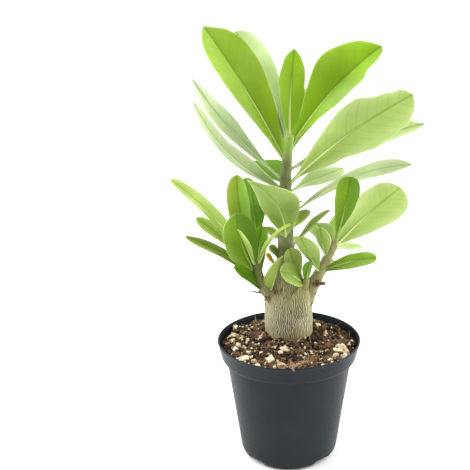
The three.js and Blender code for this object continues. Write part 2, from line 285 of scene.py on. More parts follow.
def mouldedPolypropylene():
    # Polypropylene, injection moulded and dyed slate black: a soft broad shine, faint cloudy rub marks
    # and a very fine orange-peel skin.
    material, tree, surface = newMaterial("mouldedPolypropylene", IOR=1.49, Roughness=0.42,
                                          Specular_IOR_Level=0.2)
    place = addNode(tree, "TexCoord", take="Object")
    cloud = addNode(tree, "TexNoise", {"Vector": place, "Scale": 38, "Detail": 4})
    scuff = addNode(tree, "TexNoise", {"Vector": place, "Scale": 420, "Detail": 3})
    skin = addNode(tree, "TexNoise", {"Vector": place, "Scale": 1400, "Detail": 2})
    rubbed = addNode(tree, "MapRange", (cloud, 0.42, 0.75, 0, 0.5))
    colour = blend(tree, rubbed, linear(pot["colour"]), linear(pot["rubbed"]))
    rough = addNode(tree, "MapRange", (scuff, 0.3, 0.7, 0.38, 0.5))
    bump = addNode(tree, "Bump", {"Height": skin, "Strength": 0.12, "Distance": 0.0003})
    tree.links.new(colour, surface.inputs["Base Color"])
    tree.links.new(rough, surface.inputs["Roughness"])
    tree.links.new(bump, surface.inputs["Normal"])
    return material


makePot()
print("pot ready")


# Stems: the centre x, y, z of each round section and its radius
stems = {
    "leader": [(0, 18, 84, 19.5), (0, 18, 100, 20.5), (-0.5, 18, 120, 20.5), (-1, 18, 134, 19.5),
               (-1.5, 18, 142, 15.5), (-2, 17.5, 152, 10.5), (-2.4, 17, 165, 8.2), (-2.6, 16, 191, 6.3),
               (-2.8, 14, 234, 4.9), (-1.7, 13, 251, 4.2), (0.8, 12, 272, 3.2)],
    "left": [(-8, 15, 124, 7), (-18, 12, 140, 6), (-25, 10, 152, 5), (-27, 9, 166, 4)],
    "right": [(8, 15, 124, 11), (17, 11, 142, 7.5), (27, 8, 162, 4.8), (35, 5, 180, 4), (37, 4, 188, 3.4)],
    "front": [(5, 10, 122, 12), (8, 5, 134, 9.5), (11, 1, 143, 6), (12, 0, 147, 4.2), (14, -5, 157, 3)],
}

# Leaves: the stem, the height of the foot, turn from +X and rise in degrees, length, width, bend down and sway
# round along the length, roll about the midrib, fold, wave, where it is widest, how blunt its tip is, how much
# narrower its right half is, its finish and how much painted shade darkens its right half
leafTerms = ("stem", "foot", "turn", "rise", "length", "width", "bend", "sway", "roll", "fold", "wave", "peak",
             "blunt", "skew", "finish", "shade")
leaves = {
    "crown_leaf_1": ("leader", 253, 159, 56, 123, 44, 6, -16, -34, 34, 0.8, 0.67, 0.6, 0, "bright", 0),
    "crown_leaf_2": ("leader", 262, 124, 48, 117, 26, 16, -30, -38, 23, 0.8, 0.7, 0.5, 0, "silver", 0),
    "crown_leaf_3": ("leader", 271, 84, 61, 75, 24, 0, 14, 14, 12, 0.6, 0.58, 0.62, 0, "sunlit", 0),
    "crown_leaf_4": ("leader", 264, 18, 45, 108, 46, 20, 14, 42, 32, 2, 0.68, 0.7, 0.05, "sunlit", 0),
    "crown_leaf_5": ("leader", 233, 337, 38, 126, 45, 16, -8, -66, 4, 1.4, 0.68, 0.8, 0.08, "pale", 0),
    "crown_leaf_6": ("leader", 245, 13, 16, 118, 34, 8, 0, 40, 20, 1, 0.7, 0.5, 0, "silver", 0),
    "crown_leaf_7": ("leader", 226, 33, 13, 56, 26, 3, 2, 10, 8, 0.5, 0.68, 0.75, 0, "silver", 0),
    "crown_leaf_8": ("leader", 229, 185, 46, 100, 26, -40, 22, 43, 22, 0.5, 0.66, 0.4, 0, "silver", 0.25),
    "crown_leaf_9": ("leader", 237, 169, 47, 107, 14, -18, -8, -83, 28, 0.8, 0.72, 0.47, 0, "frosted", 0.25),
    "crown_leaf_10": ("leader", 232, 115, 11, 51, 32, 6, 0, 0, 10, 0.5, 0.7, 0.5, 0, "shaded", 0),
    "crown_leaf_11": ("leader", 187, 241, 49, 79, 39, 37, 56, 10, 26, 0.5, 0.6, 0.48, -0.08, "grey", 0),
    "crown_leaf_12": ("leader", 205, 14, 20, 114, 22, 43, 0, -50, 0, 0.5, 0.68, 0.8, 0, "silver", 0),
    "crown_leaf_13": ("leader", 190, 63, 17, 37, 14, 6, 0, 0, 10, 0.4, 0.7, 0.5, 0, "grey", 0),
    "crown_leaf_14": ("leader", 179, 9, 43, 43, 14, 6, 0, 0, 30, 0.4, 0.7, 0.5, 0, "grey", 0),
    "crown_leaf_15": ("leader", 183, 133, 17, 23, 12, 6, 0, 0, 10, 0.3, 0.7, 0.5, 0, "grey", 0),
    "crown_leaf_16": ("leader", 247, 104, 27, 98, 34, 20, 0, 0, 16, 0.8, 0.7, 0.55, 0, "green", 0),
    "crown_leaf_17": ("leader", 256, 64, 30, 103, 34, 20, 0, 0, 16, 0.8, 0.7, 0.55, 0, "green", 0),
    "crown_leaf_18": ("leader", 212, 88, -14, 62, 28, 20, 0, 0, 14, 0.6, 0.7, 0.55, 0, "deep", 0),
    "crown_leaf_19": ("leader", 168, 206, 55, 16, 8, 30, 0, -60, 24, 0.3, 0.7, 0.5, 0, "grey", 0),
    "crown_leaf_20": ("leader", 160, 211, 52, 19, 8, 0, 0, -40, 14, 0.3, 0.75, 0.5, 0, "yellowed", 0),
    "left_leaf_1": ("left", 154, 192, 35, 69, 13, 20, 0, -30, 24, 0.4, 0.58, 0.45, 0, "grey", 0),
    "left_leaf_2": ("left", 144, 224, 42, 39, 15, 12, 4, -45, 14, 0.3, 0.58, 0.48, 0, "deep", 0),
    "left_leaf_3": ("left", 166, 161, 42, 99, 16, 21, 0, 70, 14, 0.4, 0.66, 0.5, 0, "tender", 0),
    "left_leaf_4": ("left", 161, 162, 38, 65, 14, 14, 0, -20, 10, 0.4, 0.76, 0.56, 0, "pale", 0),
    "left_leaf_5": ("left", 160, 203, 74, 54, 32, -30, 5, -78, 6, 0.4, 0.62, 0.62, 0, "green", 0.45),
    "left_leaf_6": ("left", 166, 69, 70, 31, 14, 8, 0, 0, 10, 0.4, 0.7, 0.5, 0, "deep", 0),
    "left_leaf_7": ("left", 165, 240, 58, 44, 10, 8, 0, -20, 20, 0.3, 0.7, 0.5, 0, "tender", 0),
    "left_leaf_8": ("left", 166, 316, 49, 56, 12, 40, 0, 20, 20, 0.3, 0.7, 0.5, 0, "tender", 0),
    "left_leaf_9": ("left", 158, 47, 71, 21, 8, 6, 0, -20, 20, 0.3, 0.7, 0.5, 0, "deep", 0),
    "left_leaf_10": ("left", 141, 311, 66, 40, 13, 6, 0, -10, 32, 0.3, 0.36, 0.85, -0.3, "tender", 0),
    "left_leaf_11": ("left", 156, 122, 70, 85, 21, -25, 15, -45, 28, 0.4, 0.74, 0.5, 0, "tender", 0.5),
    "left_leaf_12": ("left", 160, 98, 46, 89, 28, 20, -8, 30, 8, 0.5, 0.78, 0.68, 0, "deep", 0),
    "left_leaf_13": ("left", 150, 105, 43, 66, 20, 20, 0, 0, 14, 0.4, 0.7, 0.5, 0, "deep", 0),
    "right_leaf_1": ("right", 187, 36, 75, 54, 20, -12, -8, 42, 16, 0.4, 0.75, 0.36, 0, "green", 0.3),
    "right_leaf_2": ("right", 183, 332, 46, 78, 41, 10, 0, -56, -6, 0.6, 0.72, 0.46, 0, "pale", 0),
    "right_leaf_3": ("right", 180, 42, -8, 33, 12, 6, 0, 20, 10, 0.3, 0.7, 0.5, 0, "silver", 0),
    "right_leaf_4": ("right", 161, 336, 21, 48, 13, 18, 0, 58, 17, 0.4, 0.63, 0.42, 0, "green", 0),
    "right_leaf_5": ("right", 181, 108, 17, 37, 24, 6, 0, 0, 10, 0.4, 0.7, 0.5, 0, "grey", 0),
    "right_leaf_6": ("right", 173, 231, 74, 29, 16, 6, 0, 0, 10, 0.3, 0.7, 0.5, 0, "pale", 0),
    "right_leaf_7": ("right", 160, 246, 47, 58, 20, 6, 0, 0, 16, 0.3, 0.7, 0.5, 0, "grey", 0),
    "right_leaf_8": ("right", 165, 62, -5, 18, 10, 6, 0, 30, 16, 0.3, 0.7, 0.5, 0, "silver", 0),
    "right_leaf_9": ("right", 170, 68, 24, 64, 22, 20, 0, 0, 14, 0.4, 0.7, 0.5, 0, "green", 0),
    "front_leaf_1": ("front", 146, 162, 75, 36, 19, 6, 0, -30, 16, 0.3, 0.75, 0.5, 0, "grey", 0),
    "front_leaf_2": ("front", 153, 216, 35, 28, 20, 30, 0, -52, 14, 0.3, 0.58, 0.5, 0, "grey", 0),
    "front_leaf_3": ("front", 152, 295, 77, 23, 9, 6, 0, 0, 16, 0.3, 0.7, 0.5, 0, "deep", 0),
}

# How much wider or narrower than that outline a leaf is, at even steps from foot to tip: on its left, on its right
leafEdges = {
    "crown_leaf_1": ((1, 1, 1, 1, 1, 1.03, 1.08, 1.02, 0.97, 0.95, 0.7), (1, 1, 1, 1, 1, 1, 1, 1, 1, 0.95, 0.6)),
    "crown_leaf_3": ((1, 0.85, 0.72, 0.77, 0.84, 0.8, 0.86, 0.85, 0.84, 0.89, 0.8),
                     (1, 1, 0.95, 0.92, 0.95, 0.97, 0.92, 0.93, 0.97, 0.9, 0.8)),
    "crown_leaf_4": ((1, 1, 1, 1, 1, 1, 1, 1, 1, 1.02, 0.8),
                     (1, 1, 1, 0.97, 0.88, 0.8, 0.8, 0.86, 0.64, 0.7, 0.8)),
    "crown_leaf_5": ((1, 1, 1, 1, 0.85, 0.95, 1.04, 0.93, 0.94, 1.12, 1.4),
                     (1, 1, 1, 0.95, 0.92, 0.96, 1, 0.94, 0.68, 0.7, 1.3)),
    "crown_leaf_6": ((1, 1, 1, 1, 1, 1, 1, 0.95, 0.85, 0.62, 0.3),
                     (1, 1, 1, 0.95, 0.85, 0.74, 0.64, 0.55, 0.5, 0.45, 0.3)),
    "crown_leaf_8": ((1, 1, 1, 1, 0.85, 0.7, 0.5, 0.5, 0.55, 0.6, 0.4), (1, 1, 1, 1, 1, 1, 1, 1, 1, 0.75, 0.4)),
    "crown_leaf_9": ((1, 1, 1, 1, 1, 1, 1, 0.95, 0.8, 0.6, 0.3),
                     (1, 1, 1.15, 1.3, 1.4, 1.4, 1.3, 1.1, 0.85, 0.55, 0.2)),
    "crown_leaf_11": ((1, 0.67, 0.79, 0.95, 1, 1, 0.98, 0.9, 0.76, 0.57, 0.5),
                      (1, 0.8, 1, 1, 1, 1, 1, 1, 1, 1, 1)),
    "left_leaf_1": ((1, 1, 1, 1, 1, 1.1, 1.2, 1.2, 1.2, 1.1, 1),
                    (1, 1, 1, 1, 0.95, 0.88, 0.8, 0.74, 0.68, 0.6, 0.5)),
    "left_leaf_5": ((1, 0.7, 0.9, 1, 1, 1, 1, 1, 1, 1, 1),) * 2,
    "left_leaf_8": ((1,) * 11, (1, 1, 1.1, 1.25, 1.4, 1.45, 1.4, 1.3, 1.2, 1.1, 1)),
    "left_leaf_10": ((1, 0.8, 0.6, 0.5, 0.45, 0.45, 0.45, 0.5, 0.6, 0.7, 0.8), (1,) * 11),
    "right_leaf_2": ((1,) * 11, (1, 1, 0.9, 0.68, 0.64, 0.68, 0.75, 0.85, 0.84, 0.91, 0.9)),
}


def stemAt(stem, height):
    points = stems[stem]
    i = 1
    while i < len(points) - 1 and points[i][2] < height:
        i += 1
    part = min(1, max(0, between(height, points[i - 1][2], points[i][2], 0, 1)))
    return [a + (b - a) * part for a, b in zip(points[i - 1], points[i])]


def heading(turn, rise):
    turn, rise = math.radians(turn), math.radians(rise)
    return Vector((math.cos(rise) * math.cos(turn), math.cos(rise) * math.sin(turn), math.sin(rise)))


def leafFoot(leaf):
    x, y, z, radius = stemAt(leaf["stem"], leaf["foot"])
    return Vector((x, y, z)) + heading(leaf["turn"] + leaf["sway"] / 2, 0) * max(0, radius - 1.5)


blade = {
    "thickness": 0.8,
    "rib": 1.3,              # how far the midrib stands out below, at the foot
    "petiole": 1.5,          # half its width at the foot, and how much of that is gone at the tip
    "petioleTaper": 1.1,
    "groove": 0.35,          # depth of the channel over the midrib, and how far it reaches from there
    "grooveReach": 0.9,
    "sideVeinRelief": 0.1,
    "sideVeinsPerLength": 13,
    "veinSlope": 0.5,        # side veins leave the midrib at about 60 degrees and bend towards the tip
    "veinBend": 0.028,
    "unevenness": 0.1,       # of the edge
    "foldOpening": 0.45,     # share of the fold that is gone at the tip
}


def edgeFactor(leaf, t, v):
    # this leaf's own edge, and a little unevenness that no two leaves share
    ripple = noise.noise(Vector((4 * t, leaf["turn"], math.copysign(leaf["foot"], v))))
    uneven = 1 + blade["unevenness"] * ripple * min(1, 4 * (1 - t))
    if leaf["name"] not in leafEdges:
        return uneven
    factors = leafEdges[leaf["name"]][v > 0]
    place = t * (len(factors) - 1)
    i = min(int(place), len(factors) - 2)
    return uneven * (factors[i] + (factors[i + 1] - factors[i]) * smoothStep(place, i, i + 1))


def halfWidth(leaf, t, v):
    foot = leaf["blunt"] * leaf["peak"] / (1 - leaf["peak"])
    shape = (t / leaf["peak"]) ** foot * (max(0, 1 - t) / (1 - leaf["peak"])) ** leaf["blunt"]
    shape *= (1 - leaf["skew"] * v) * edgeFactor(leaf, t, v)
    return max(leaf["width"] / 2 * shape, blade["petiole"] - blade["petioleTaper"] * t)


def midribRows(leaf, count):
    # for each row from foot to tip: t, the midrib's point, and the directions across and out of the blade
    point = leafFoot(leaf)
    rows, steps, before = [], 8, 0
    for row in range(count + 1):
        t = 1 - (1 - row / count) ** 1.6
        for step in range(steps):
            at = before + (t - before) * (step + 0.5) / steps
            way = heading(leaf["turn"] + leaf["sway"] * (0.5 - at), leaf["rise"] + leaf["bend"] * (0.5 - at))
            point = point + way * leaf["length"] * (t - before) / steps
        before = t
        turn, rise = leaf["turn"] + leaf["sway"] * (0.5 - t), leaf["rise"] + leaf["bend"] * (0.5 - t)
        up, side, roll = heading(turn, rise + 90), heading(turn - 90, 0), math.radians(leaf["roll"])
        across = side * math.cos(roll) - up * math.sin(roll)
        normal = up * math.cos(roll) + side * math.sin(roll)
        rows.append((t, point, across, normal))
    return rows


def bladePoint(leaf, row, v, below):
    t, middle, across, normal = row
    half = halfWidth(leaf, t, v)
    fold = math.radians(leaf["fold"]) * (1 - blade["foldOpening"] * t)
    wave = leaf["wave"] * math.sin(math.tau * (1.6 * t + (0 if v > 0 else 0.35))) * v * v * min(1, 4 * t)
    off = half * abs(v)                  # from the midrib, mm
    thin = blade["thickness"] / 2 * (1 - 0.5 * v ** 4)
    vein = t * leaf["length"] - off * (blade["veinSlope"] + off * blade["veinBend"])
    crest = (0.5 + 0.5 * math.cos(math.tau * vein * blade["sideVeinsPerLength"] / leaf["length"])) ** 4
    crest *= blade["sideVeinRelief"] * min(1, leaf["length"] / 60) * (1 - abs(v) ** 3) * min(1, off / 3)
    if below:
        ribReach = min(0.8 + 1.2 * (1 - t), half / 3)
        rib = blade["rib"] * min(1, 0.3 + 5 * t) * (1 - t) ** 1.5 * math.exp(-(off / ribReach) ** 2)
        lift = -thin - rib - crest
    else:
        groove = blade["groove"] * (1 - 0.6 * t) * math.exp(-(off / blade["grooveReach"]) ** 2)
        lift = thin - groove * min(1, half / 3) - crest
    return (middle + across * (half * v * math.cos(fold)) + normal * (off * math.sin(fold) + wave + lift), off)


def makeLeaf(leaf, material):
    big = leaf["length"] > 60
    columns, count = (22, 56) if big else (14, 34)
    rows = midribRows(leaf, count)
    bm = bmesh.new()
    bmesh.ops.create_grid(bm, x_segments=columns, y_segments=count, size=1)
    place = bm.verts.layers.float_vector.new("blade")      # across -1 to 1, along 0 to 1, side 0 above and 1 below
    # bladeSize's third value is the painted shade of the right half
    size = bm.verts.layers.float_vector.new("bladeSize")   # mm across, mm along, shade
    above = set(bm.verts)
    for vert in bm.verts:
        vert[place] = (math.copysign(abs(vert.co.x) ** 1.3, vert.co.x), (vert.co.y + 1) / 2, 0)
    bmesh.ops.solidify(bm, geom=bm.faces[:], thickness=0.1)
    for vert in bm.verts:
        v, row = vert[place][0], rows[round(vert[place][1] * count)]
        below = vert not in above
        vert.co, off = bladePoint(leaf, row, v, below)
        vert[place] = (v, row[0], below)
        # the third value carries the leaf's painted shade onto its right half
        vert[size] = (off, row[0] * leaf["length"], leaf["shade"] * smoothStep(v, -0.05, 0.2))
    bmesh.ops.recalc_face_normals(bm, faces=bm.faces)
    return finishPiece(leaf["name"] + "_blade", bm, material, (leaf["name"],), 75)


# Leaf finishes: colours above, below, of the midrib above and below and of the side veins, how strongly those show,
# shine, and how much paler it gets towards the rim, which is partly painted sheen. A side-vein colour darker than
# the blade is painted shade in the sunken veins, and several finishes are painted lit, shaded and sheened copies.
leafFinishes = {
    # painted light: this finish and the next are lit copies of the green leaf, lighter and yellower
    "sunlit": ("#86ae1c", "#a2c05c", "#c0d27c", "#c8d69c", "#6a9414", 0.22, 0.3, 0.05),
    "bright": ("#8eae3a", "#a6c262", "#c6d688", "#ccd8a0", "#769a28", 0.2, 0.3, 0),
    # painted sheen: this finish and the next two are the leaf's own paler green with a whitish sheen painted in
    "pale": ("#a8c45e", "#a9c268", "#c8d898", "#cfdca4", "#7f9f42", 0.3, 0.35, 0.35),
    "silver": ("#aabf7e", "#b0c28c", "#cedaae", "#d0dab8", "#889e58", 0.2, 0.4, 0.25),
    "frosted": ("#dfecc4", "#dfe9cc", "#e8f0d4", "#e6ecd8", "#b4c890", 0.2, 0.4, 0.1),
    "green": ("#80a622", "#9ab65e", "#b6ca7c", "#c0d098", "#b6ca7c", 0.12, 0.3, 0.15),
    # painted shade: this finish and the next are shaded copies, darker green, for leaves inside the crown
    "deep": ("#5c8812", "#6f9434", "#96b45a", "#a8bc80", "#96b45a", 0.16, 0.1, 0.1),
    "shaded": ("#547c04", "#5e8812", "#96b45a", "#a8bc80", "#86a84a", 0.1, 0.05, 0.1),
    "grey": ("#879e46", "#90a85a", "#bfce86", "#c0ce8c", "#72863a", 0.2, 0.25, 0.2),
    "tender": ("#9cb440", "#a6be60", "#c8d884", "#ccda94", "#c8d884", 0.1, 0.3, 0.2),
    "yellowed": ("#e8c62c", "#e0c65a", "#f0dc78", "#f0e090", "#f0dc78", 0.1, 0.3, 0),
}


def leafCuticle(finish):
    # The waxy skin of a leaf over its green tissue: a soft satin highlight above, duller and paler below, with pale
    # veins, light that soaks through the thin blade and a paler rim. Painted shade darkens the crease beside the
    # midrib and the right half of some leaves.
    upper, lower, vein, veinBelow, sideVeinAndShade, veinShow, shine, washed = leafFinishes[finish]
    material, tree, surface = newMaterial(finish + "LeafCuticle", IOR=1.45, Roughness=0.42, Subsurface_Weight=0.35,
                                          Subsurface_Scale=0.0012, Specular_IOR_Level=shine)
    surface.inputs["Subsurface Radius"].default_value = (1.0, 1.0, 0.25)
    place = addNode(tree, "TexCoord", take="Object")
    at = addNode(tree, "Attribute", take="Vector", attribute_name="blade")
    sizes = addNode(tree, "Attribute", take="Vector", attribute_name="bladeSize")
    v, t, below = [addNode(tree, "SeparateXYZ", (at,), i) for i in range(3)]
    off, along, shade = [addNode(tree, "SeparateXYZ", (sizes,), i) for i in range(3)]
    edge = addNode(tree, "Math", (v,), operation="ABSOLUTE")
    # side veins, where their crests are; a side-vein colour darker than the blade is painted shade in the sunken
    # veins
    lean = addNode(tree, "Math", (off, blade["veinBend"], blade["veinSlope"]), operation="MULTIPLY_ADD")
    lean = addNode(tree, "Math", (off, lean), operation="MULTIPLY")
    wobble = addNode(tree, "TexNoise", {"Vector": place, "Scale": 70, "Detail": 2})
    wobble = addNode(tree, "Math", (wobble, 4), operation="MULTIPLY")
    way = addNode(tree, "Math", (along, lean), operation="SUBTRACT")
    way = addNode(tree, "Math", (way, wobble), operation="ADD")
    length = addNode(tree, "Math", (t, along), operation="DIVIDE")    # 1 / the blade's length
    turns = addNode(tree, "Math", (way, length), operation="MULTIPLY")
    turns = addNode(tree, "Math", (turns, blade["sideVeinsPerLength"]), operation="MULTIPLY")
    ping = addNode(tree, "Math", (turns, 0.5), operation="PINGPONG")
    line = addNode(tree, "MapRange", (ping, 0.0, 0.11, 1, 0), interpolation_type="SMOOTHSTEP")
    reach = addNode(tree, "MapRange", (edge, 0.7, 0.97, 1, 0), interpolation_type="SMOOTHSTEP")
    line = addNode(tree, "Math", (line, reach), operation="MULTIPLY")
    line = addNode(tree, "Math", (line, veinShow), operation="MULTIPLY")
    # the midrib, which narrows to the tip and leaves only a dark crease there; the crease's darkness is painted
    # shade
    ribWidth = addNode(tree, "MapRange", (t, 0, 1, 1.0, 0.1))
    past = addNode(tree, "Math", (off, ribWidth), operation="SUBTRACT")
    showing = addNode(tree, "MapRange", (t, 0.3, 0.75, 0.9, 0.1), interpolation_type="SMOOTHSTEP")
    midrib = addNode(tree, "MapRange", (past, -0.3, 0.2, 1, 0), interpolation_type="SMOOTHSTEP")
    midrib = addNode(tree, "Math", (midrib, showing), operation="MULTIPLY")
    # painted shade in the crease beside the midrib, stronger towards the tip
    creaseShadeStrength = addNode(tree, "MapRange", (t, 0.3, 0.75, 0.4, 0.7), interpolation_type="SMOOTHSTEP")
    creaseShade = addNode(tree, "MapRange", (past, 0.1, 1.1, 1, 0), interpolation_type="SMOOTHSTEP")
    creaseShade = addNode(tree, "Math", (creaseShade, creaseShadeStrength), operation="MULTIPLY")
    # colour: face, cloudy tissue darker towards the foot, foot, veins, midrib, rim, with painted shade in the
    # midrib's crease and on some right halves, and a paler edge that is partly painted sheen
    mottle = addNode(tree, "TexNoise", {"Vector": place, "Scale": 55, "Detail": 3, "Roughness": 0.55})
    shadeDown = addNode(tree, "MapRange", (mottle, 0.3, 0.75, 0, 0.5))
    towardsFoot = addNode(tree, "MapRange", (t, 0.1, 0.65, 0.75, 0))
    shadeDown = addNode(tree, "Math", (shadeDown, towardsFoot), operation="ADD", use_clamp=True)
    face = blend(tree, below, linear(upper), linear(lower))
    darker = addNode(tree, "HueSaturation", {"Color": face, "Saturation": 1.15, "Value": 0.8})
    tissue = blend(tree, shadeDown, face, darker)
    pale = blend(tree, below, linear(vein), linear(veinBelow))
    foot = addNode(tree, "MapRange", (t, 0.02, 0.12, 0.45, 0), interpolation_type="SMOOTHSTEP")
    rim = addNode(tree, "MapRange", (edge, 0.955, 0.99, 0, 0.45), interpolation_type="SMOOTHSTEP")
    # the darker tissue colour that the painted crease shade mixes in
    channel = addNode(tree, "HueSaturation", {"Color": tissue, "Saturation": 1.4, "Value": 0.6})
    # paler towards the edge: partly the blade's own paler margin, partly painted sheen
    wash = addNode(tree, "MapRange", (edge, 0.35, 0.95, 0, washed), interpolation_type="SMOOTHSTEP")
    tissue = blend(tree, wash, tissue, pale)
    # painted shade in the midrib's crease
    tissue = blend(tree, creaseShade, tissue, channel)
    tissue = blend(tree, line, tissue, linear(sideVeinAndShade))
    for amount in (foot, midrib, rim):
        tissue = blend(tree, amount, tissue, pale)
    # painted shade: the right half of some leaves drawn darker green
    tissue = blend(tree, shade, tissue, linear("#46882c"))
    patchy = addNode(tree, "TexNoise", {"Vector": place, "Scale": 30, "Detail": 2})
    value = addNode(tree, "MapRange", (patchy, 0.3, 0.7, 0.86, 1.12))
    tissue = addNode(tree, "HueSaturation", {"Color": tissue, "Value": value})
    grain = addNode(tree, "TexNoise", {"Vector": place, "Scale": 1100, "Detail": 2})
    rough = addNode(tree, "MapRange", (below, 0, 1, 0.4, 0.6))
    bump = addNode(tree, "Bump", {"Height": grain, "Strength": 0.12, "Distance": 0.0002})
    tree.links.new(tissue, surface.inputs["Base Color"])
    tree.links.new(rough, surface.inputs["Roughness"])
    tree.links.new(bump, surface.inputs["Normal"])
    return material


finishes = {finish: leafCuticle(finish) for finish in leafFinishes}
for name, row in leaves.items():
    leaf = dict(zip(leafTerms, row), name=name)
    makeLeaf(leaf, finishes[leaf["finish"]])
print(len(leaves), "leaves ready")

# Bark: one skin over the trunk, leader and branches
bark = {
    "voxel": 0.6,
    "smoothings": 10,
    "nodeRadius": 2.3,       # of the swelling under each leaf
    "undulation": 0.35,
    "trunkAxis": (-0.5, 18),
    "wrinklesApart": 1.6,
    # x, y, z, turn, rise, length and the radius at the foot and at the end of each dried stub
    "stubs": [(21, 6, 150, 325, 8, 12, 2.4, 0.9), (-14, 8, 135, 205, 6, 10, 2, 0.5),
              (-22, 9, 140, 185, 12, 12, 1.2, 0.5), (24, 4, 151, 345, 12, 11, 1, 0.5),
              (18, 10, 138, 325, 40, 5, 1.6, 0.8)],
    # x, y, z, reach and strength of each scar
    "scars": [(-10.6, 6.5, 142, 4.5, 0.7), (-6.5, 5, 144, 3.5, 0.65), (9, -3, 152, 4, 0.9), (13, -1, 149, 5, 1),
              (18.5, 9, 139, 4, 1.3), (19, 9, 131, 4, 1.3), (-22, 8, 141, 3, 0.5), (22, 5, 150, 5, 0.9)],
}


def rounded(points, steps):
    # the same run of points with rounder turns
    ends = [points[0], *points, points[-1]]
    run = []
    for four in zip(ends, ends[1:], ends[2:], ends[3:]):
        for i in range(steps):
            t = i / steps
            run.append([0.5 * (2 * b + (c - a) * t + (2 * a - 5 * b + 4 * c - d) * t * t
                               + (3 * b - a - 3 * c + d) * t ** 3) for a, b, c, d in zip(*four)])
    return run + [list(points[-1])]


def addParts(bm, *parts):
    for part in parts:
        mesh = bpy.data.meshes.new("work")
        part.to_mesh(mesh)
        part.free()
        bm.from_mesh(mesh)
        bpy.data.meshes.remove(mesh)
    return bm


def stemTube(points):
    run = rounded(points, 6)
    tip = run[-1]
    cap = [(tip[3] * math.cos(a), tip[2] + 0.6 * tip[3] * math.sin(a)) for a in (0.5, 1.0)]
    profile = [(0, run[0][2])] + [(radius, z) for x, y, z, radius in run] + cap + [(0, tip[2] + 0.6 * tip[3])]
    bm = spun(profile, 40)
    for vert in bm.verts:
        i = 1
        while i < len(run) - 1 and run[i][2] < vert.co.z:
            i += 1
        low, high = run[i - 1], run[i]
        part = min(1, max(0, between(vert.co.z, low[2], high[2], 0, 1)))
        vert.co.x += low[0] + (high[0] - low[0]) * part
        vert.co.y += low[1] + (high[1] - low[1]) * part
    return bm


def stubTube(x, y, z, turn, rise, length, foot, end):
    bm = spun([(0, -2), (foot, -2), (foot * 0.9, 0), (foot * 0.7 + end * 0.3, length * 0.3), (end, length * 0.9),
               (end * 0.6, length), (0, length)], 16)
    aim = heading(turn, rise).to_track_quat("Z", "Y").to_matrix().to_4x4()
    bmesh.ops.transform(bm, matrix=Matrix.Translation((x, y, z)) @ aim, verts=bm.verts)
    return bm


def makeBark():
    bm = bmesh.new()
    addParts(bm, *(stemTube(points) for points in stems.values()), *(stubTube(*stub) for stub in bark["stubs"]))
    for row in leaves.values():
        leaf = dict(zip(leafTerms, row))
        size = bark["nodeRadius"] * min(1, 0.5 + leaf["length"] / 100)
        bmesh.ops.create_icosphere(bm, subdivisions=3, radius=size, matrix=Matrix.Translation(leafFoot(leaf)))
    bm = baked(bm, ("REMESH", {"mode": "VOXEL", "voxel_size": bark["voxel"]}),
               ("SMOOTH", {"factor": 0.5, "iterations": bark["smoothings"]}))
    fields = bm.verts.layers.float_vector.new("barkFields")      # scar, dried wood, young shoot
    bm.normal_update()
    for vert in bm.verts:
        co = vert.co.copy()
        scar = max(strength * (1 - smoothStep((co - Vector((x, y, z))).length, 0.35 * reach, reach))
                   for x, y, z, reach, strength in bark["scars"])
        dried = 0
        for x, y, z, turn, rise, length, foot, end in bark["stubs"]:
            way = heading(turn, rise)
            along = (co - Vector((x, y, z))).dot(way)
            out = (co - Vector((x, y, z)) - way * along).length
            if out < foot * 1.6 and along < length + 2:
                dried = max(dried, smoothStep(along, 0, 4))
        # wood is young high up, and lower down where it is well away from the trunk
        away = math.hypot(co.x - bark["trunkAxis"][0], co.y - bark["trunkAxis"][1])
        young = max(smoothStep(co.z, 150, 180), smoothStep(co.z, 140, 154) * smoothStep(away, 20, 28))
        lump = noise.noise(co / 7) + 0.4 * noise.noise(co / 2.3)
        ragged = scar * (noise.noise(co / 1.3) * 0.9 - 0.35)
        vert.co += vert.normal * (bark["undulation"] * lump * (1 - 0.5 * young) + ragged)
        vert[fields] = (scar, dried, young)
    return finishPiece("bark_skin", bm, corkyBark(), ("stem",), 70)


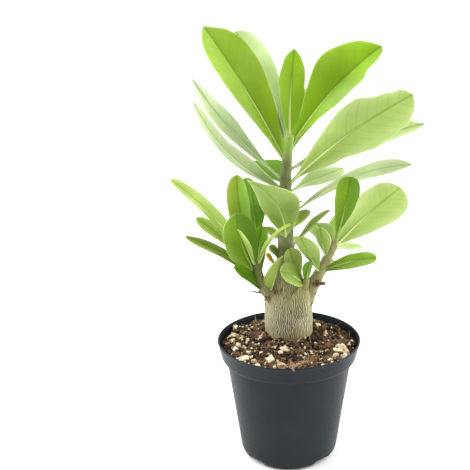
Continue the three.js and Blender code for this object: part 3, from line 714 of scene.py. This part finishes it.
def corkyBark():
    # Thin grey bark of a succulent trunk, matt and dry, drawn into fine wavy upright wrinkles with pale crests.
    # Young wood above is smoother and greener, and scars are dark and crumbly.
    material, tree, surface = newMaterial("corkyBark", Roughness=0.7)
    place = addNode(tree, "TexCoord", take="Object")
    x, y, z = [addNode(tree, "SeparateXYZ", (place,), i) for i in range(3)]
    fields = addNode(tree, "Attribute", take="Vector", attribute_name="barkFields")
    scar, dried, young = [addNode(tree, "SeparateXYZ", (fields,), i) for i in range(3)]
    # upright wrinkles, evenly spaced round the trunk's own axis from its front, which waver every 4 mm or so
    east = addNode(tree, "Math", (x, bark["trunkAxis"][0] * mm), operation="SUBTRACT")
    north = addNode(tree, "Math", (y, bark["trunkAxis"][1] * mm), operation="SUBTRACT")
    turn = addNode(tree, "Math", (north, -1), operation="MULTIPLY")
    turn = addNode(tree, "Math", (east, turn), operation="ARCTAN2")
    out = addNode(tree, "CombineXYZ", (east, north))
    out = addNode(tree, "VectorMath", (out,), "Value", operation="LENGTH")
    turn = addNode(tree, "Math", (turn, out), operation="MULTIPLY")
    turn = addNode(tree, "Math", (turn, 1 / (bark["wrinklesApart"] * mm)), operation="MULTIPLY")
    waver = addNode(tree, "TexNoise", {"Vector": place, "Scale": 230, "Detail": 1})
    drift = addNode(tree, "TexNoise", {"Vector": place, "Scale": 70, "Detail": 1})
    turn = addNode(tree, "Math", (waver, 2.1, turn), operation="MULTIPLY_ADD")
    turn = addNode(tree, "Math", (drift, 2.5, turn), operation="MULTIPLY_ADD")
    crest = addNode(tree, "Math", (turn, 0.5), operation="PINGPONG")
    crest = addNode(tree, "MapRange", (crest, 0.1, 0.4, 0, 1), interpolation_type="SMOOTHSTEP")
    broken = addNode(tree, "TexNoise", {"Vector": place, "Scale": 330, "Detail": 2})
    broken = addNode(tree, "MapRange", (broken, 0.3, 0.5, 0.6, 1))
    crest = addNode(tree, "Math", (crest, broken), operation="MULTIPLY")
    onTrunk = addNode(tree, "MapRange", (young, 0.5, 1, 1, 0))
    crest = addNode(tree, "Math", (crest, onTrunk), operation="MULTIPLY")
    # young wood: short upright streaks
    stretch = addNode(tree, "Mapping", {"Vector": place, "Scale": (1, 1, 0.22)})
    streak = addNode(tree, "TexNoise", {"Vector": stretch, "Scale": 700, "Detail": 3})
    cloud = addNode(tree, "TexNoise", {"Vector": place, "Scale": 85, "Detail": 3})
    # colour by height, paler on the right branch
    right = addNode(tree, "MapRange", (east, 0.01, 0.02, 0, 1))
    shoot = blend(tree, right, linear("#555e33"), linear("#7c7c46"))
    shootTop = blend(tree, right, linear("#808b4f"), linear("#b4b276"))
    furrow = blend(tree, young, linear("#4f4a2b"), shoot)
    top = blend(tree, young, linear("#d4d2aa"), shootTop)
    fleck = addNode(tree, "MapRange", (streak, 0.35, 0.68, 0, 0.75))
    fleck = addNode(tree, "Math", (fleck, young), operation="MULTIPLY")
    light = addNode(tree, "Math", (crest, fleck), operation="ADD")
    skin = blend(tree, light, furrow, top)
    patch = addNode(tree, "MapRange", (cloud, 0.35, 0.7, 0, 0.45))
    skin = blend(tree, patch, skin, linear("#8a8560"))
    # olive where the branches leave it, and green at the top
    crotch = addNode(tree, "MapRange", (z, 0.122, 0.142, 0, 0.9), interpolation_type="SMOOTHSTEP")
    crotch = addNode(tree, "Math", (crotch, cloud), operation="MULTIPLY")
    above = addNode(tree, "MapRange", (z, 0.155, 0.18, 1, 0), interpolation_type="SMOOTHSTEP")
    crotch = addNode(tree, "Math", (crotch, above), operation="MULTIPLY")
    skin = blend(tree, crotch, skin, linear("#8c8640"))
    green = addNode(tree, "MapRange", (z, 0.248, 0.268, 0, 0.8), interpolation_type="SMOOTHSTEP")
    skin = blend(tree, green, skin, linear("#8fae44"))
    # yellower and browner at the soil
    foot = addNode(tree, "MapRange", (z, 0.099, 0.112, 0.6, 0), interpolation_type="SMOOTHSTEP")
    skin = blend(tree, foot, skin, linear("#978748"))
    crumbly = addNode(tree, "TexNoise", {"Vector": place, "Scale": 640, "Detail": 3})
    flaky = addNode(tree, "MapRange", (crumbly, 0.4, 0.6, 0, 1))
    dead = blend(tree, flaky, linear("#34271a"), linear("#94704e"))
    gone = addNode(tree, "Math", (scar, dried), operation="MAXIMUM")
    ragged = addNode(tree, "Math", (crumbly, 0.8, gone), operation="MULTIPLY_ADD")
    gone = addNode(tree, "MapRange", (ragged, 0.75, 1.05, 0, 1), interpolation_type="SMOOTHSTEP")
    skin = blend(tree, gone, skin, dead)
    relief = addNode(tree, "Math", (streak, 0.35, crest), operation="MULTIPLY_ADD")
    bump = addNode(tree, "Bump", {"Height": relief, "Strength": 0.55, "Distance": 0.0005})
    tree.links.new(skin, surface.inputs["Base Color"])
    tree.links.new(bump, surface.inputs["Normal"])
    return material


makeBark()
print("bark ready")


# Soil: a lumpy ground of peat, with crumbs, perlite, bark chips and fibres lying on it
soil = {
    "level": 97,
    "trunkY": 18,
    "mound": 4.5,            # higher round the trunk
    "moundFoot": 18,         # where it starts, and how far it runs out
    "moundReach": 14,
    "clearOfTrunk": 20.5,
    "gap": 0.3,
    "reach": 56.6,           # no grain lies further out
    "cells": 120,
    "crumbs": 1500,
    "clods": 90,
    "specks": 480,
    "fibres": 420,
    # x, y and size of the larger perlite grains
    "perliteSize": 1.3,
    "perlite": [(-48, 30, 4.6), (-37, 17, 4), (-47, 13, 3.8), (-51, 8, 3), (-40, 8, 3.4), (-35, 4, 3),
                (-42, -6, 4.4), (-37, -12, 3.6), (-44, -14, 3.2), (-36, -32, 4.4), (-28, -36, 3.8), (-31, -29, 3),
                (-24, 3, 3), (-15, -34, 4.4), (-3, -17, 5.2), (-7, -22, 3.6), (-5, -49, 4.6), (-11, -47, 3.2),
                (25, 30, 3.6), (31, 15, 3), (46, 8, 2.8), (45, -14, 5.8), (40, -18, 4.6), (47, -21, 4.6),
                (45, -28, 5.4), (38, -25, 3.6), (33, -34, 3.2), (22, -6, 2.8), (10, -28, 2.6), (-33, -20, 3),
                (-25, -44, 3.6), (-19, -42, 2.8), (8, -46, 4.4), (41, -8, 4), (50, -6, 3.2), (-48, 2, 3)],
    "chips": [(-17, -15, 6.5), (-30, 24, 5), (20, -33, 5), (34, -6, 4.4), (-22, -25, 4), (2, -36, 5), (-52, -4, 4),
              (30, 26, 4.4), (-12, -40, 4)],
    # feet, crest and ends of the tuft of fibres that hangs over the lip
    "tuft": ((3, -49, 100), (3.5, -57.5, 104.4), (4, -61, 102.4)),
    "tuftStrands": 32,
    "tuftOver": 4,           # every so many strands, one goes over the lip
}


def soilHeight(x, y):
    away = math.hypot(x, y - soil["trunkY"])
    lumps = 0.8 * math.sin(x / 4.1 + 1.3 * math.sin(y / 6)) * math.sin(y / 3.7 + math.sin(x / 5))
    return soil["level"] + soil["mound"] * math.exp(-((away - soil["moundFoot"]) / soil["moundReach"]) ** 2) + lumps


def makeGround():
    rings = fillingProfile(soil["gap"])
    brim = collarRadius(soil["level"]) - pot["wall"] - soil["gap"]
    bm = bmesh.new()
    bmesh.ops.create_grid(bm, x_segments=soil["cells"], y_segments=soil["cells"], size=1)
    for vert in bm.verts:
        u, v = vert.co.x, vert.co.y
        x, y = brim * u * math.sqrt(1 - v * v / 2), brim * v * math.sqrt(1 - u * u / 2)
        spot = Vector((x, y, 0))
        grain = 1.1 * noise.noise(spot / 3) + 0.7 * noise.noise(spot / 1.4)
        vert.co = (x, y, soilHeight(x, y) + grain * (1 - smoothStep(max(abs(u), abs(v)), 0.97, 1)))
    edge = [e for e in bm.edges if e.is_boundary]
    for radius, z in rings[::-1]:
        made = bmesh.ops.extrude_edge_only(bm, edges=edge)["geom"]
        edge = [e for e in made if isinstance(e, bmesh.types.BMEdge) and e.is_boundary]
        for vert in {vert for e in edge for vert in e.verts}:
            wide = math.hypot(vert.co.x, vert.co.y)
            vert.co = (vert.co.x * radius / wide, vert.co.y * radius / wide, z)
    bmesh.ops.holes_fill(bm, edges=edge)
    bmesh.ops.recalc_face_normals(bm, faces=bm.faces)
    tone = bm.verts.layers.float.new("tone")
    # painted shade: the ground shows only between the grains, so its low tone is the peat's own dark colour
    # deepened into shade there
    for vert in bm.verts:
        vert[tone] = 0.2
    return finishPiece("soil_ground", bm, peat, ("soil",), 60)


def freeSpot(draw, reach=54.5):
    # a random place on the soil, off the trunk
    while True:
        x, y = draw.uniform(-reach, reach), draw.uniform(-reach, reach)
        if math.hypot(x, y) < reach and math.hypot(x, y - soil["trunkY"]) > soil["clearOfTrunk"]:
            return x, y


def addLump(bm, tone, draw, spot, size, detail, flat=(0.6, 1), ragged=0.25, sink=0.15):
    angle = draw.uniform(0, math.tau)
    turn = Matrix.Rotation(angle, 4, Vector([draw.gauss(0, 1) for axis in range(3)]))
    wide = Matrix.Diagonal((draw.uniform(0.8, 1.35), draw.uniform(0.75, 1.1), draw.uniform(*flat), 1))
    made = bmesh.ops.create_icosphere(bm, subdivisions=detail, radius=size / 2, matrix=turn @ wide)["verts"]
    away = Vector((draw.uniform(-99, 99), draw.uniform(-99, 99), 0))
    shade = draw.random()
    place = Vector((*spot, soilHeight(*spot) + size * (0.5 - sink)))
    for vert in made:
        coarse, fine = noise.noise(vert.co * 2.6 / size + away), noise.noise(vert.co * 7 / size)
        vert.co *= 1 + ragged * (coarse * 2 + 0.5 * fine)
        vert[tone] = shade
        vert.co += place
        over = math.hypot(vert.co.x, vert.co.y) / soil["reach"]     # a lump lies flat against the wall
        if over > 1:
            vert.co.x, vert.co.y = vert.co.x / over, vert.co.y / over


def makeLumps(name, material, seed, rows, **shape):
    # rows of (spot, size, detail); a spot of None is drawn
    draw = random.Random(seed)
    bm = bmesh.new()
    tone = bm.verts.layers.float.new("tone")
    for spot, size, detail in rows:
        addLump(bm, tone, draw, spot or freeSpot(draw), size * draw.uniform(0.85, 1.2), detail, **shape)
    return finishPiece(name, bm, material, (), 40)


def addStrand(bm, tone, shade, points, radius):
    # a thin closed tube through the points, pointed at both ends
    sides, last = 5, len(points) - 1
    made = bmesh.ops.create_grid(bm, x_segments=sides, y_segments=last, size=1)["verts"]
    for vert in made:
        turn, i = (vert.co.x + 1) / 2 * math.tau, round((vert.co.y + 1) / 2 * last)
        ahead = (points[min(i + 1, last)] - points[max(i - 1, 0)]).normalized()
        side = ahead.cross(Vector((0.31, 0.2, 0.9))).normalized()
        thin = radius * math.sin(math.pi * i / last) ** 0.5 if 0 < i < last else 0
        vert.co = points[i] + (side * math.cos(turn) + side.cross(ahead) * math.sin(turn)) * thin
        vert[tone] = shade
    bmesh.ops.remove_doubles(bm, verts=made, dist=0.0005)


def wander(draw, start, way, length, steps, curl):
    # points that set off one way and turn at random
    point, way, points = Vector(start), Vector(way).normalized(), []
    for i in range(steps + 1):
        points.append(point.copy())
        way = (way + Vector([draw.gauss(0, curl) for axis in range(3)])).normalized()
        point += way * length / steps
    return points


def makeFibres():
    draw = random.Random(41)
    bm = bmesh.new()
    tone = bm.verts.layers.float.new("tone")
    for i in range(soil["fibres"]):
        x, y = freeSpot(draw, 53)
        turn = draw.uniform(0, math.tau)
        way = (math.cos(turn), math.sin(turn), draw.uniform(-0.05, 0.3))
        start = (x, y, soilHeight(x, y) + draw.uniform(0.5, 1.8))
        points = wander(draw, start, way, draw.uniform(4, 11), 7, 0.24)
        points = [point for point in points if math.hypot(point.x, point.y) < 55.5]
        if len(points) > 3:
            addStrand(bm, tone, draw.uniform(0, 0.8), points, draw.uniform(0.16, 0.4))
    foot, crest, end = [Vector(at) for at in soil["tuft"]]
    steps = 12
    for i in range(soil["tuftStrands"]):
        over = i % soil["tuftOver"] == 0
        start = foot + Vector((draw.gauss(3, 5), draw.uniform(-3, 8), draw.uniform(-0.6, 1.5)))
        top = crest + Vector((draw.gauss(0, 1), 0, draw.uniform(0, 1)))
        goal = end + Vector((draw.gauss(0, 0.6), 0, draw.uniform(-1.5, 1.5)))
        if not over:
            top = start + Vector((draw.uniform(-2, 9), draw.uniform(-5, 1), draw.uniform(2, 6)))
            goal = top + Vector((draw.uniform(-2, 6), draw.uniform(-3, 3), draw.uniform(-4, 0)))
            goal.y = max(goal.y, -55)
        run = []
        for step in range(steps + 1):
            t = step / steps
            at = start * (1 - t) ** 2 + (top * 2 - (start + goal) / 2) * (2 * t * (1 - t)) + goal * t * t
            run.append(at + Vector((draw.gauss(0, 0.12), draw.gauss(0, 0.08), draw.gauss(0, 0.08))))
        addStrand(bm, tone, draw.uniform(0.3, 1), run, draw.uniform(0.14, 0.25))
    bmesh.ops.recalc_face_normals(bm, faces=bm.faces)
    return finishPiece("coir_fibres", bm, driedFibre(), (), 60)


def grainMaterial(name, low, high, roughness, scale, strength, **sockets):
    # a crumbly solid: each grain has its own tone, broken up by a fine speckle
    material, tree, surface = newMaterial(name, Roughness=roughness, **sockets)
    place = addNode(tree, "TexCoord", take="Object")
    tone = addNode(tree, "Attribute", take="Fac", attribute_name="tone")
    speckle = addNode(tree, "TexNoise", {"Vector": place, "Scale": scale, "Detail": 4, "Roughness": 0.65})
    mixed = addNode(tree, "Math", (speckle, 1.1, -0.55), operation="MULTIPLY_ADD")
    mixed = addNode(tree, "Math", (tone, mixed), operation="ADD", use_clamp=True)
    colour = blend(tree, mixed, linear(low), linear(high))
    bump = addNode(tree, "Bump", {"Height": speckle, "Strength": strength, "Distance": 0.0006})
    tree.links.new(colour, surface.inputs["Base Color"])
    tree.links.new(bump, surface.inputs["Normal"])
    return material


def driedFibre():
    # Coconut and root fibres, dry and tan, a little shiny along their length.
    return grainMaterial("driedFibre", "#2c1c10", "#c8a676", 0.6, 500, 0.2)


# Peat, dark and fibrous and wholly matt; it swallows light between its crumbs.
peat = grainMaterial("peat", "#0c0704", "#6c5032", 0.95, 560, 0.9)
# Perlite, white volcanic glass puffed up: chalky, bright and pitted, stained cream by the peat.
perliteGrain = grainMaterial("perliteGrain", "#b89a68", "#f8eed2", 0.8, 700, 0.6)
# Pine bark in chips: red-brown layers, dull.
pineBark = grainMaterial("pineBark", "#4a2c1c", "#9a6d4c", 0.85, 260, 0.6)
makeGround()
makeLumps("peat_crumbs", peat, 11, [(None, 1 + 2.4 * (i % 7 / 6) ** 2, 1 + (i % 7 > 4))
                                    for i in range(soil["crumbs"])], ragged=0.4)
makeLumps("peat_clods", peat, 15, [(None, 4 + i % 4, 3) for i in range(soil["clods"])], flat=(0.3, 0.6), ragged=0.5,
          sink=0.3)
makeLumps("perlite_grains", perliteGrain, 12, [((x, y), size * soil["perliteSize"], 3)
                                               for x, y, size in soil["perlite"]], ragged=0.32, sink=0.1)
makeLumps("perlite_specks", perliteGrain, 13, [(None, 0.8 + 1.5 * (i % 5 / 4) ** 2, 1)
                                               for i in range(soil["specks"])], sink=-0.35)
makeLumps("bark_chips", pineBark, 14, [((x, y), size, 3) for x, y, size in soil["chips"]], flat=(0.25, 0.4),
          ragged=0.35, sink=0)
makeFibres()
print("soil ready")
